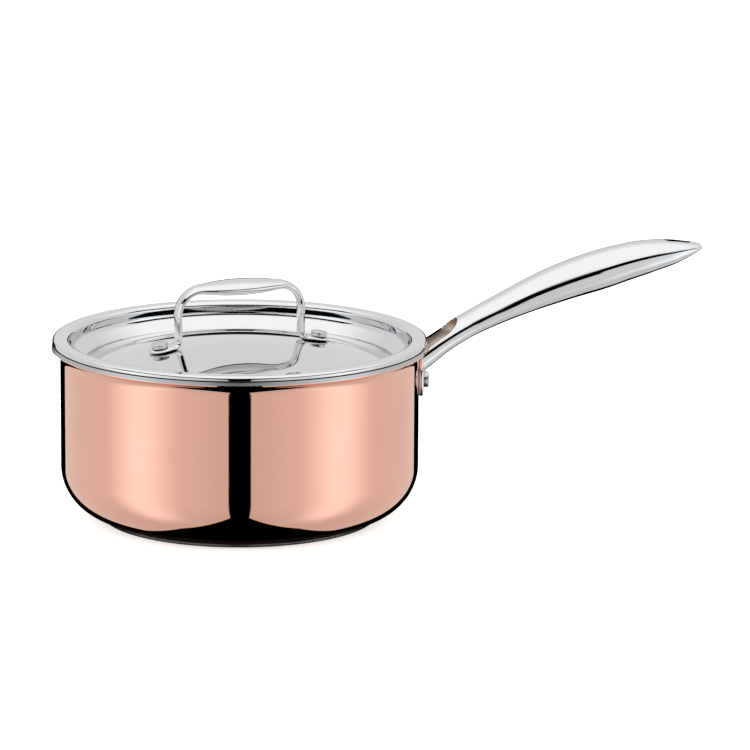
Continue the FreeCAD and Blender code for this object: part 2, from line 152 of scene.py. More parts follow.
def pick(piece, kind, test):
    """In edit mode, selects only the edges or faces that pass the test.

    The test is given an edge's two ends, or a face's middle, in millimetres.
    """
    bpy.ops.mesh.select_mode(type=kind)
    bpy.ops.mesh.select_all(action="DESELECT")
    bpy.ops.object.mode_set(mode="OBJECT")
    for edge in piece.data.edges if kind == "EDGE" else ():
        edge.select = test(*(piece.data.vertices[i].co / MM for i in edge.vertices))
    for face in piece.data.polygons if kind == "FACE" else ():
        face.select = test(face.center / MM)
    bpy.ops.object.mode_set(mode="EDIT")


def close_piece(piece):
    """Merges doubles, turns faces outwards and shades smooth, sharp only at real edges."""
    bpy.ops.mesh.select_mode(type="VERT")
    bpy.ops.mesh.select_all(action="SELECT")
    bpy.ops.mesh.remove_doubles(threshold=0.002 * MM)
    bpy.ops.mesh.normals_make_consistent(inside=False)
    bpy.ops.object.mode_set(mode="OBJECT")
    bpy.ops.object.shade_smooth_by_angle(angle=SMOOTH_ANGLE)
    return piece


def apply_modifier(piece, kind, **settings):
    """Gives the piece one modifier and applies it."""
    bpy.context.view_layer.objects.active = piece
    added = piece.modifiers.new(kind.title(), kind)
    for name, value in settings.items():
        setattr(added, name, value)
    bpy.ops.object.modifier_apply(modifier=added.name)


def place(piece, matrix):
    """Puts a finished piece somewhere, with the place in its mesh."""
    bpy.ops.object.select_all(action="DESELECT")
    piece.select_set(True)
    bpy.context.view_layer.objects.active = piece
    piece.matrix_world = matrix
    bpy.ops.object.transform_apply(location=True, rotation=True, scale=True)
    return piece


class Outline:
    """A pen that draws half a section in the XZ plane, as (radius, level) in millimetres."""

    HOLD = 0.5

    def __init__(self, name, radius, level):
        self.piece = start_piece(name)
        self.at = Vector((0, 0))
        self.step_to(Vector((radius, level)), extrude=False)

    def step_to(self, goal, extrude=True):
        move = (goal - self.at) * MM
        step = (move.x, 0, move.y)
        if extrude:
            bpy.ops.mesh.extrude_region_move(TRANSFORM_OT_translate={"value": step})
        else:
            bpy.ops.transform.translate(value=step)
        self.at = goal

    def line(self, radius, level):
        """Straight to a point, with a cut near each end of a long run to hold its flatness."""
        start, goal = self.at.copy(), Vector((radius, level))
        length = (goal - start).length
        if length > 5 * self.HOLD:
            along = (goal - start) / length
            self.step_to(start + along * self.HOLD)
            self.step_to(goal - along * self.HOLD)
        self.step_to(goal)

    def arc(self, radius, level, bend, turn, steps=None):
        """Round to a point with this bend radius, turning left or right."""
        goal = Vector((radius, level))
        chord = goal - self.at
        rise = math.sqrt(max(bend * bend - chord.length_squared / 4, 0))
        side = Vector((-chord.y, chord.x)).normalized() * (1 if turn == "left" else -1)
        centre = (self.at + goal) / 2 + side * rise
        angle = 2 * math.asin(min(chord.length / 2 / bend, 1))
        steps = steps or max(5, math.ceil(math.degrees(angle) / 5))
        bpy.ops.mesh.spin(steps=steps, angle=angle, center=(centre.x * MM, 0, centre.y * MM),
                          axis=(0, 1 if turn == "left" else -1, 0))
        self.at = goal

    def turned(self, steps=TURN_STEPS):
        """The solid of revolution of the outline about Z."""
        bpy.ops.mesh.select_all(action="SELECT")
        bpy.ops.mesh.spin(steps=steps, angle=2 * math.pi, center=(0, 0, 0), axis=(0, 0, 1))
        return close_piece(self.piece)


def tube(name, stations, sides):
    """A closed bar along X, from rings (distance, half width, half height), with a corner on top."""
    # a subdivided ring of this many corners shrinks by this much, so it starts wider
    swell = 6 / (4 + 2 * math.cos(2 * math.pi / sides))
    bpy.ops.object.select_all(action="DESELECT")
    bpy.ops.mesh.primitive_circle_add(vertices=sides, radius=MM, fill_type="NGON",
                                      rotation=(0, math.pi / 2, 0))
    piece = bpy.context.object
    piece.name = name
    bpy.ops.object.transform_apply(rotation=True)
    bpy.ops.object.mode_set(mode="EDIT")
    bpy.ops.mesh.select_all(action="SELECT")
    before = (0.0, 1 / swell, 1 / swell)
    for index, station in enumerate(stations):
        if index:
            step = ((station[0] - before[0]) * MM, 0, 0)
            bpy.ops.mesh.extrude_region_move(TRANSFORM_OT_translate={"value": step})
        else:
            bpy.ops.transform.translate(value=(station[0] * MM, 0, 0))
        bpy.ops.transform.resize(value=(1, station[1] / before[1], station[2] / before[2]),
                                 center_override=(station[0] * MM, 0, 0))
        before = station
    bpy.ops.mesh.select_all(action="SELECT")
    bpy.ops.mesh.normals_make_consistent(inside=False)
    return piece


def bent_along(piece, points, heels=None):
    """Bends a bar that runs along X so that it follows a line of (reach, level) in the XZ plane."""
    line = bpy.data.curves.new(piece.name + "_line", "CURVE")
    line.dimensions = "3D"
    line.resolution_u = 64
    spline = line.splines.new("BEZIER")
    spline.bezier_points.add(len(points) - 1)
    for knot, (reach, level) in zip(spline.bezier_points, points):
        knot.co = (reach * MM, 0, level * MM)
        knot.handle_left_type = knot.handle_right_type = "AUTO"
    if heels:
        for knot, (back, ahead) in zip(spline.bezier_points, heels):
            knot.handle_left_type = knot.handle_right_type = "FREE"
            knot.handle_left = knot.co - Vector((back[0], 0, back[1])) * MM
            knot.handle_right = knot.co + Vector((ahead[0], 0, ahead[1])) * MM
    guide = bpy.data.objects.new(line.name, line)
    bpy.context.scene.collection.objects.link(guide)
    apply_modifier(piece, "CURVE", object=guide, deform_axis="POS_X")
    bpy.data.objects.remove(guide)
    return piece


# ---------------------------------------------------------------- materials


def colour(text):
    """Linear RGBA of an sRGB hex colour."""
    parts = [int(text[i:i + 2], 16) / 255 for i in (1, 3, 5)]
    return tuple(c / 12.92 if c <= 0.04045 else ((c + 0.055) / 1.055) ** 2.4 for c in parts) + (1.0,)


def put(tree, kind, settings=None, sockets=None, links=None):
    """Adds one node with its settings, its socket values and its incoming links."""
    made = tree.nodes.new(kind)
    for name, value in (settings or {}).items():
        setattr(made, name, value)
    for name, value in (sockets or {}).items():
        made.inputs[name].default_value = value
    for name, source in (links or {}).items():
        tree.links.new(source, made.inputs[name])
    return made


def finish(name, base, rough, metallic=1.0):
    """A new material with a Principled shader; returns material, tree and shader."""
    made = bpy.data.materials.new(name)
    made.use_nodes = True
    tree = made.node_tree
    shader = tree.nodes["Principled BSDF"]
    shader.inputs["Base Color"].default_value = colour(base)
    shader.inputs["Roughness"].default_value = rough
    shader.inputs["Metallic"].default_value = metallic
    return made, tree, shader


def coat(piece, material):
    piece.data.materials.clear()
    piece.data.materials.append(material)


FILM_SIZE = 26.0


def mirror_metal(name, base, stain, rough_low, rough_high, ring_pitch, ring_height):
    """Metal finished on a wheel or lathe: rings round the axis and a faint film that varies the gloss.

    The ring pitch and height and the film's size are in millimetres.
    """
    made, tree, shader = finish(name, base, rough_low)
    spot = put(tree, "ShaderNodeTexCoord")
    film = put(tree, "ShaderNodeTexNoise",
               sockets={"Scale": 1 / (FILM_SIZE * MM), "Detail": 4.0, "Roughness": 0.6},
               links={"Vector": spot.outputs["Object"]})
    rough = put(tree, "ShaderNodeMapRange",
                sockets={"From Min": 0.35, "From Max": 0.7, "To Min": rough_low, "To Max": rough_high},
                links={"Value": film.outputs["Fac"]})
    tint = put(tree, "ShaderNodeMix", {"data_type": "RGBA"},
               {"A": colour(base), "B": colour(stain)}, {"Factor": film.outputs["Fac"]})
    apart = put(tree, "ShaderNodeSeparateXYZ", links={"Vector": spot.outputs["Object"]})
    across = put(tree, "ShaderNodeCombineXYZ", links={"X": apart.outputs["X"], "Y": apart.outputs["Y"]})
    radius = put(tree, "ShaderNodeVectorMath", {"operation": "LENGTH"},
                 links={0: across.outputs["Vector"]})
    rings = put(tree, "ShaderNodeCombineXYZ", links={"X": radius.outputs["Value"], "Z": apart.outputs["Z"]})
    lines = put(tree, "ShaderNodeTexNoise", sockets={"Scale": 1 / (ring_pitch * MM), "Detail": 2.0},
                links={"Vector": rings.outputs["Vector"]})
    bump = put(tree, "ShaderNodeBump", sockets={"Strength": 1.0, "Distance": ring_height * MM},
               links={"Height": lines.outputs["Fac"]})
    tree.links.new(rough.outputs["Result"], shader.inputs["Roughness"])
    tree.links.new(tint.outputs["Result"], shader.inputs["Base Color"])
    tree.links.new(bump.outputs["Normal"], shader.inputs["Normal"])
    return made


# Copper sheet, drawn and buffed: a warm pink mirror with crisp edges in what it reflects.
copper = mirror_metal("copper_mirror_buffed", "#F6C0AA", "#F2BAA3", 0.015, 0.04, 1.6, 0.0002)
# Stainless steel, pressed or forged and buffed: a neutral mirror, a little darker than what it reflects.
steel = mirror_metal("steel_18_10_mirror_buffed", "#E3E3E4", "#DDDDDE", 0.02, 0.05, 1.6, 0.0003)
# Stainless sheet turned with a fine abrasive: grey satin with close rings, coarser than real so they show.
liner_steel = mirror_metal("steel_18_10_satin_turned", "#C9C7C2", "#C4C2BD", 0.28, 0.31, 0.5, 0.004)
# Magnetic steel, faced on a lathe: dull grey with turning marks that stretch the highlights.
base_steel = mirror_metal("steel_430_turned_base", "#BDBBB7", "#B1AFAB", 0.2, 0.32, 1.2, 0.01)
# Aluminium, bare only where the wall was trimmed: a pale matt band along the rim.
core_metal = mirror_metal("aluminium_trimmed_edge", "#C8C8CA", "#BCBCBE", 0.3, 0.42, 0.3, 0.004)
# Stainless rivets, tumbled after heading: soft grey that blurs what it reflects.
rivet_steel = mirror_metal("steel_18_10_rivet_polished", "#D3D3D4", "#C9C9CA", 0.2, 0.3, 0.8, 0.0008)


# Warm grey inside the cradle: the satin roughness is the steel's real finish, the warm tint is a painted
# reflection of the copper.
SATIN_AND_COPPER_GLOW = "#D2C1B2"
SATIN_ROUGH = 0.36


def satin_cradle_with_copper_glow(made):
    """Satin inside the cradle, where the buffing wheel does not reach, with a faint warm tint that is a
    painted reflection of the copper wall beside it.

    The hollow is where the metal lies nearer the handle's line than the bar's own skin does:
    the depth is 1 on the skin and falls to 0 on the line.
    """
    skin, inside = 0.92, 0.84
    tree = made.node_tree
    shader = tree.nodes["Principled BSDF"]
    low, high = HANDLE[0], HANDLE[3]
    spot = put(tree, "ShaderNodeTexCoord")
    apart = put(tree, "ShaderNodeSeparateXYZ", links={"Vector": spot.outputs["Object"]})

    def along(first, last):
        span = {"From Min": low[0] * MM, "From Max": high[0] * MM,
                "To Min": first * MM, "To Max": last * MM}
        return put(tree, "ShaderNodeMapRange", {"clamp": False}, span,
                   {"Value": apart.outputs["X"]}).outputs["Result"]

    def work(operation, first, second):
        node = put(tree, "ShaderNodeMath", {"operation": operation}, links={0: first, 1: second})
        return node.outputs["Value"]

    lean = math.cos(math.atan2(high[1] - low[1], high[0] - low[0]))
    aside = work("DIVIDE", apart.outputs["Y"], along(low[2], high[2]))
    above = work("DIVIDE", work("SUBTRACT", apart.outputs["Z"], along(low[1], high[1])),
                 along(low[3] / lean, high[3] / lean))
    depth = work("ADD", work("MULTIPLY", aside, aside), work("MULTIPLY", above, above))
    inner = put(tree, "ShaderNodeMapRange", sockets={"From Min": skin, "From Max": inside},
                links={"Value": depth})
    near_root = put(tree, "ShaderNodeMapRange",
                    sockets={"From Min": high[0] * MM, "From Max": CRADLE_END * MM},
                    links={"Value": apart.outputs["X"]})
    hollow = work("MULTIPLY", inner.outputs["Result"], near_root.outputs["Result"])
    # blends in the satin roughness and the warm tint; the tint is painted reflection of the copper, not the
    # steel's own colour
    for socket, kind, value in (("Roughness", "FLOAT", SATIN_ROUGH), ("Base Color", "RGBA", colour(SATIN_AND_COPPER_GLOW))):
        before = shader.inputs[socket].links[0].from_socket
        blend = put(tree, "ShaderNodeMix", {"data_type": kind}, {"B": value}, {"Factor": hollow, "A": before})
        tree.links.new(blend.outputs["Result"], shader.inputs[socket])
    return made


# The handle's steel: the same mirror, but satin inside the open cradle at its root, and tinted warm there as
# a painted reflection of the copper wall.
handle_steel = satin_cradle_with_copper_glow(
    mirror_metal("steel_18_10_mirror_satin_cradle_painted_copper_glow", "#E3E3E4", "#DDDDDE", 0.02, 0.05, 1.6, 0.0003))

# ---------------------------------------------------------------- three-ply pan


def layer(name, outer, inner):
    """One sheet of the wall between two depths below the outer surface."""
    centre = BODY_RADIUS - CORNER_RADIUS
    lean = math.radians(FLARE_ANGLE)

    def rim(depth):
        reach = FLARE_RADIUS + depth
        return BODY_RADIUS + FLARE_RADIUS - reach * math.cos(lean), FLARE_START + reach * math.sin(lean)

    pen = Outline(name, 0, BASE_GAUGE + outer)
    pen.line(centre, BASE_GAUGE + outer)
    pen.arc(BODY_RADIUS - outer, BASE_GAUGE + CORNER_RADIUS, CORNER_RADIUS - outer, "left", 30)
    pen.line(BODY_RADIUS - outer, FLARE_START)
    pen.arc(*rim(outer), FLARE_RADIUS + outer, "right", 20)
    pen.line(*rim(inner))
    pen.arc(BODY_RADIUS - inner, FLARE_START, FLARE_RADIUS + inner, "left", 20)
    pen.line(BODY_RADIUS - inner, BASE_GAUGE + CORNER_RADIUS)
    pen.arc(centre, BASE_GAUGE + inner, CORNER_RADIUS - inner, "right", 30)
    pen.line(0, BASE_GAUGE + inner)
    return pen.turned()


def base_disc():
    """Induction disc under the copper, broken at both edges."""
    edge = 0.4
    pen = Outline("induction_disc", 0, 0)
    pen.line(BASE_RADIUS - edge, 0)
    pen.line(BASE_RADIUS, edge)
    pen.line(BASE_RADIUS, BASE_GAUGE - edge)
    pen.line(BASE_RADIUS - edge, BASE_GAUGE)
    pen.line(0, BASE_GAUGE)
    return pen.turned()


# ---------------------------------------------------------------- lid


def dome_level(span):
    """Level of the lid's outer face at a distance from its axis."""
    edge_drop = math.sqrt(DOME_SPHERE ** 2 - DOME_RADIUS ** 2)
    return DOME_EDGE + math.sqrt(DOME_SPHERE ** 2 - span ** 2) - edge_drop


def lid_plate():
    """Pressed lid: shallow dome, valley, small step, sloped shelf, upright well wall, flat rim, hem."""
    top = dome_level(0)
    well_top = LID_TOP - WELL_ROUND
    under = LID_GAUGE
    hem_low = LID_TOP - HEM_HEIGHT
    slope = math.radians(SHELF_SLOPE)

    def shelf_start(bend):
        """Where the round at the foot of the well meets the shelf, for a bend radius."""
        centre = (WELL_RADIUS - SHELF_ROUND, WELL_FOOT)
        return centre[0] + bend * math.sin(slope), centre[1] - bend * math.cos(slope)

    shelf = shelf_start(SHELF_ROUND)
    shelf_end = shelf[1] - (shelf[0] - SHELF_RADIUS) * math.tan(slope)
    pen = Outline("lid_pressing", 0, top)
    pen.arc(DOME_RADIUS, DOME_EDGE, DOME_SPHERE, "right", 40)
    pen.line(VALLEY_RADIUS - VALLEY_WIDTH, VALLEY_LEVEL)
    pen.line(VALLEY_RADIUS, VALLEY_LEVEL)
    pen.line(SHELF_RADIUS, shelf_end)
    pen.line(*shelf)
    pen.arc(WELL_RADIUS, WELL_FOOT, SHELF_ROUND, "left", 14)
    pen.line(WELL_RADIUS, well_top)
    pen.arc(WELL_RADIUS + WELL_ROUND, LID_TOP, WELL_ROUND, "right", 14)
    pen.line(LID_RADIUS - RIM_ROUND, LID_TOP)
    pen.arc(LID_RADIUS, LID_TOP - RIM_ROUND, RIM_ROUND, "right", 12)
    pen.line(LID_RADIUS, hem_low + HEM_ROUND)
    pen.arc(LID_RADIUS - HEM_ROUND, hem_low, HEM_ROUND, "right", 8)
    pen.line(LID_RADIUS - HEM_WIDTH, hem_low)
    pen.line(LID_RADIUS - HEM_WIDTH, LID_TOP - under)
    pen.line(WELL_RADIUS + WELL_ROUND, LID_TOP - under)
    pen.arc(WELL_RADIUS + under, well_top, WELL_ROUND - under, "left", 12)
    pen.line(WELL_RADIUS + under, WELL_FOOT)
    pen.arc(*shelf_start(SHELF_ROUND + under), SHELF_ROUND + under, "right", 14)
    pen.line(SHELF_RADIUS + under, shelf_end - under * 0.6)
    pen.line(VALLEY_RADIUS + under, VALLEY_LEVEL - under)
    pen.line(VALLEY_RADIUS - VALLEY_WIDTH - under / 2, VALLEY_LEVEL - under)
    pen.line(DOME_RADIUS - under / 2, DOME_EDGE - under)
    pen.arc(0, top - under, DOME_SPHERE, "left", 40)
    return pen.turned()


# ---------------------------------------------------------------- rivets


def rivet(name, grip, shank, head, head_height, tail, tail_height):
    """Rivet about Z: slightly domed head above 0, shank down to the grip, flat tail."""
    flat, shoulder = 0.4 * RIVET_EDGE, 1.2 * RIVET_EDGE
    pen = Outline(name, 0, -grip - tail_height)
    pen.line(tail - RIVET_EDGE, -grip - tail_height + flat)
    pen.arc(tail, -grip, shoulder, "left")
    pen.line(shank, -grip)
    pen.line(shank, 0)
    pen.line(head, 0)
    pen.line(head, head_height - shoulder)
    pen.arc(head - RIVET_EDGE, head_height - flat, RIVET_EDGE, "left", 8)
    pen.arc(0, head_height, head * RIVET_CROWN, "left", 10)
    return pen.turned(RIVET_TURN_STEPS)


def on_bow(span):
    """Place on the lid under the bow, leaning with the dome."""
    turn = Matrix.Rotation(math.radians(BOW_TURN), 4, "Z")
    tilt = Matrix.Rotation(math.asin(span / DOME_SPHERE), 4, "Y")
    return turn @ Matrix.Translation(Vector((span, 0, dome_level(span))) * MM) @ tilt


def radial(angle, distance, level):
    """Place whose Z axis runs outwards along the radius at this angle."""
    turn = Matrix.Rotation(math.radians(angle), 4, "Z")
    return turn @ Matrix.Translation(Vector((distance, 0, level)) * MM) @ Matrix.Rotation(math.pi / 2, 4, "Y")


# ---------------------------------------------------------------- bow


def bow():
    """Forged bar: flat feet, upright legs, round corners and a lens-shaped grip."""
    crest = BOW_TOP - BOW_GRIP_HALF[1]
    half_pad = PAD_GAUGE / 2
    foot_end = BOW_RIVET + PAD_RADIUS
    foot = dome_level(foot_end) + half_pad
    heel = dome_level(BOW_LEG) + half_pad
    # the line's control arms: short beside a straight, and this share of the radius at a quarter round
    short, round_share = 2.0, 0.5523
    corner = BOW_CORNER
    knots = [((foot_end, foot), None),
             ((BOW_LEG + BOW_HEEL, heel - PAD_DIP), BOW_HEEL), ((BOW_LEG, heel + BOW_HEEL), BOW_HEEL),
             ((BOW_LEG, crest - corner), corner), ((BOW_LEG - corner, crest), corner)]
    pad_run = math.hypot(foot_end - BOW_LEG - BOW_HEEL, foot - heel + PAD_DIP)
    leg_run = crest - corner - heel - BOW_HEEL
    quarter = math.pi / 2
    lengths = [0, pad_run, BOW_HEEL * quarter, leg_run, corner * quarter, BOW_LEG - corner]
    marks = [sum(lengths[:i + 1]) for i in range(len(lengths))]
    total = 2 * marks[-1]

    rows = []
    for share in (0.02, 0.1, 0.25, 0.5, 0.8):
        reach = share * PAD_RADIUS
        round_width = math.sqrt(PAD_RADIUS ** 2 - (PAD_RADIUS - reach) ** 2)
        rows.append((reach, round_width, half_pad * min(1, 0.5 + share * 2)))
    rows.append((PAD_RADIUS * 1.2, PAD_RADIUS * 0.98, half_pad))
    rows.append((marks[1] - 1, BOW_ANKLE_WIDTH, half_pad))
    rows.append(((marks[1] + marks[2]) / 2, *BOW_HEEL_HALF))
    rows.append((marks[2] + 2, *BOW_LEG_HALF))
    rows.append((marks[3], *BOW_LEG_HALF))
    for share, blend in ((0.33, 0.03), (0.66, 0.12), (1, 0.3)):
        rows.append((marks[3] + share * lengths[4],
                     *(a + (b - a) * blend for a, b in zip(BOW_LEG_HALF, BOW_GRIP_HALF))))
    rows.append((marks[4] + lengths[5] * 0.45,
                 *(a + (b - a) * 0.8 for a, b in zip(BOW_LEG_HALF, BOW_GRIP_HALF))))
    rows.append((marks[5], *BOW_GRIP_HALF))
    rows += [(total - reach, width, height) for reach, width, height in rows[-2::-1]]
    piece = tube("lid_bow", rows, 12)
    bpy.ops.object.mode_set(mode="OBJECT")
    apply_modifier(piece, "SUBSURF", levels=3, render_levels=3)

    points, heels = [], []
    for index, ((reach, level), bend) in enumerate(knots):
        points.append((-reach, level))
        run = (1, 0) if index in (0, 1, 4) else (0, 1)
        back = bend * round_share if index in (2, 4) else short
        ahead = bend * round_share if index in (1, 3) else short
        heels.append(([part * back for part in run], [part * ahead for part in run]))
    for (reach, level), (back, ahead) in zip(points[::-1], heels[::-1]):
        points.append((-reach, level))
        heels.append(((ahead[0], -ahead[1]), (back[0], -back[1])))
    bent_along(piece, points, heels)
    place(piece, Matrix.Rotation(math.radians(BOW_TURN), 4, "Z"))
    bpy.ops.object.shade_smooth()
    return piece


# ---------------------------------------------------------------- long handle


def handle_station(reach):
    """Distance along the handle's line, half width and half height at a reach."""
    along = 0.0
    for first, last in zip(HANDLE, HANDLE[1:]):
        run = math.hypot(last[0] - first[0], last[1] - first[1])
        if reach <= last[0] or last is HANDLE[-1]:
            share = (reach - first[0]) / (last[0] - first[0])
            return (along + run * share, first[2] + (last[2] - first[2]) * share,
                    first[3] + (last[3] - first[3]) * share)
        along += run


def cut(piece, cutter):
    """Takes the cutter's volume out of the piece."""
    apply_modifier(piece, "BOOLEAN", object=cutter, operation="DIFFERENCE", solver="EXACT")
    bpy.data.objects.remove(cutter)


def cradle_cutter():
    """The hollow of the open cradle: a trough with a round end, clear of the handle's top."""
    rings = []
    for reach, share in CRADLE:
        distance, wide, high = handle_station(reach)
        rings.append((distance, (wide - HANDLE_WALL / 2) * share, high * CRADLE_DEPTH * share))
    cutter = tube("cradle_cutter", rings, 16)
    bpy.ops.mesh.select_all(action="SELECT")
    bpy.ops.transform.translate(value=(0, 0, CRADLE_LIFT * MM))
    bpy.ops.object.mode_set(mode="OBJECT")
    apply_modifier(cutter, "SUBSURF", levels=2, render_levels=2)
    return bent_along(cutter, [station[:2] for station in HANDLE])


def slot_cutter():
    """An upright bar with round ends, as long and as wide as the hanging slot."""
    bpy.ops.object.select_all(action="DESELECT")
    bpy.ops.mesh.primitive_cylinder_add(vertices=48, radius=SLOT_WIDTH / 2 * MM,
                                        depth=SLOT_CUTTER_HEIGHT * MM)
    cutter = bpy.context.object
    bpy.ops.object.mode_set(mode="EDIT")
    pick(cutter, "FACE", lambda spot: spot.x > 0.1)
    bpy.ops.transform.translate(value=((SLOT_LENGTH - SLOT_WIDTH) * MM, 0, 0))
    bpy.ops.object.mode_set(mode="OBJECT")
    middle = SLOT_CENTRE - (SLOT_LENGTH - SLOT_WIDTH) / 2
    return place(cutter, Matrix.Translation((middle * MM, 0, HANDLE[-3][1] * MM)))


def pan_handle():
    """Smooth bar with an open cradle at its root and a hanging slot at its tip."""
    reaches = [94, 102, 110, 119, 126, 133, 140, 147, 154, 168, 183, 197, 212, 225, 238, 247, 256, 264,
               269, 272.4, 274.1]
    piece = tube("handle_bar", [handle_station(reach) for reach in reaches], 16)
    bpy.ops.object.mode_set(mode="OBJECT")
    apply_modifier(piece, "SUBSURF", levels=3, render_levels=3)
    bent_along(piece, [station[:2] for station in HANDLE])
    cut(piece, cradle_cutter())
    cut(piece, slot_cutter())

    bpy.ops.object.mode_set(mode="EDIT")
    bpy.ops.mesh.select_all(action="SELECT")
    bpy.ops.mesh.bisect(plane_co=(HANDLE_ROOT * MM, 0, 0), plane_no=(1, 0, 0),
                        use_fill=True, clear_inner=True)
    close_piece(piece)
    return piece


def root_plate():
    """Flat strap with round corners, rolled to the wall's radius."""
    middle = BODY_RADIUS + PLATE_GAUGE / 2
    length = 2 * middle * math.radians(PLATE_HALF_ANGLE)
    height = PLATE_HIGH - PLATE_LOW
    bpy.ops.object.select_all(action="DESELECT")
    bpy.ops.mesh.primitive_cube_add(size=MM)
    piece = bpy.context.object
    piece.name = "handle_plate"
    bpy.ops.object.mode_set(mode="EDIT")
    bpy.ops.mesh.select_all(action="SELECT")
    bpy.ops.transform.resize(value=(length, PLATE_GAUGE, height))
    bpy.ops.transform.translate(value=(0, 0, (PLATE_LOW + height / 2) * MM))
    pick(piece, "EDGE", lambda first, last: abs(first.y - last.y) > 1)
    bpy.ops.mesh.bevel(offset=PLATE_CORNER * MM, segments=10)
    pick(piece, "EDGE", lambda first, last: abs(first.y - last.y) < 0.01)
    bpy.ops.mesh.bevel(offset=PLATE_EDGE * MM, segments=5)
    cuts = 40
    for index in range(1, cuts):
        bpy.ops.mesh.select_all(action="SELECT")
        bpy.ops.mesh.bisect(plane_co=((index / cuts - 0.5) * length * MM, 0, 0), plane_no=(1, 0, 0))
    bpy.ops.object.mode_set(mode="OBJECT")
    apply_modifier(piece, "SIMPLE_DEFORM", deform_method="BEND", deform_axis="Z",
                   angle=math.radians(2 * PLATE_HALF_ANGLE))
    place(piece, Matrix.Rotation(math.pi / 2, 4, "Z") @ Matrix.Translation((0, -middle * MM, 0)))
    bpy.ops.object.mode_set(mode="EDIT")
    close_piece(piece)
    return piece


# ---------------------------------------------------------------- put the pieces together


def fit(piece, body, node, material):
    """Hands a finished piece to the frame in place of its CAD node."""
    coat(piece, material)
    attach(piece, body)
    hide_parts(node)
    return piece


core_depth = COPPER_GAUGE
liner_depth = core_depth + CORE_GAUGE
fit(layer("copper_shell", 0, core_depth), "pan", "copper_outer_shell", copper)
fit(layer("core_sheet", core_depth, liner_depth), "pan", "aluminium_core", core_metal)
wall_gauge = liner_depth + LINER_GAUGE
fit(layer("liner_sheet", liner_depth, wall_gauge), "pan", "steel_liner", liner_steel)
fit(base_disc(), "pan", "induction_base_disc", base_steel)
fit(lid_plate(), "lid", "lid_plate", steel)
fit(bow(), "lid", "lid_bow_handle", steel)

handle = pan_handle()
plate = root_plate()
bpy.ops.object.select_all(action="DESELECT")
plate.select_set(True)
handle.select_set(True)
bpy.context.view_layer.objects.active = handle
bpy.ops.object.join()
fit(handle, "pan", "pan_handle", handle_steel)

for side, sign in (("near", -1), ("far", 1)):
    made = rivet("plate_rivet_" + side, wall_gauge + PLATE_GAUGE + PLATE_SEAT_GAP, **PLATE_RIVET)
    place(made, radial(sign * RIVET_HALF_ANGLE, BODY_RADIUS + PLATE_GAUGE, RIVET_LEVEL))
    fit(made, "pan", "handle_rivet_" + side, rivet_steel)
for side, sign in (("left", -1), ("right", 1)):
    made = rivet("bow_rivet_" + side, PAD_GAUGE + LID_GAUGE + BOW_SEAT_GAP, **BOW_RIVET_SIZES)
    place(made, on_bow(sign * BOW_RIVET) @ Matrix.Translation((0, 0, PAD_GAUGE * MM)))
    fit(made, "lid", "lid_rivet_" + side, rivet_steel)

# ---------------------------------------------------------------- floor, light and camera

CAMERA_AZIMUTH = math.radians(-12)
CAMERA_ELEVATION = math.radians(13.1)
CAMERA_DISTANCE = 3.0
CAMERA_AIM = Vector((0, 0, 0.05))
CAMERA_LENS = 251.0
PAN_RIGHT = math.radians(1.481)
TILT_UP = math.radians(0.590)
SENSOR_WIDTH = 36

PANEL_LEVEL = 0.80
GLARE_COLOUR = (0.40, 0.47, 0.52)
WHITE_LEVEL = 1.1
FLOOR_SIZE = 12
FLOOR_GLOW = 0.62
CARD_RADIUS = 0.0855
CARD_LEVEL = 0.0001


def make_camera():
    back = Vector((math.sin(CAMERA_AZIMUTH) * math.cos(CAMERA_ELEVATION),
                   -math.cos(CAMERA_AZIMUTH) * math.cos(CAMERA_ELEVATION), math.sin(CAMERA_ELEVATION)))
    lens = bpy.data.cameras.new("camera")
    lens.lens = CAMERA_LENS
    lens.sensor_width = SENSOR_WIDTH
    camera = bpy.data.objects.new("camera", lens)
    bpy.context.scene.collection.objects.link(camera)
    aim = (-back).to_track_quat("-Z", "Y").to_matrix().to_4x4()
    glance = Matrix.Rotation(-PAN_RIGHT, 4, "Y") @ Matrix.Rotation(TILT_UP, 4, "X")
    camera.matrix_world = Matrix.Translation(CAMERA_AIM + back * CAMERA_DISTANCE) @ aim @ glance
    bpy.context.scene.camera = camera


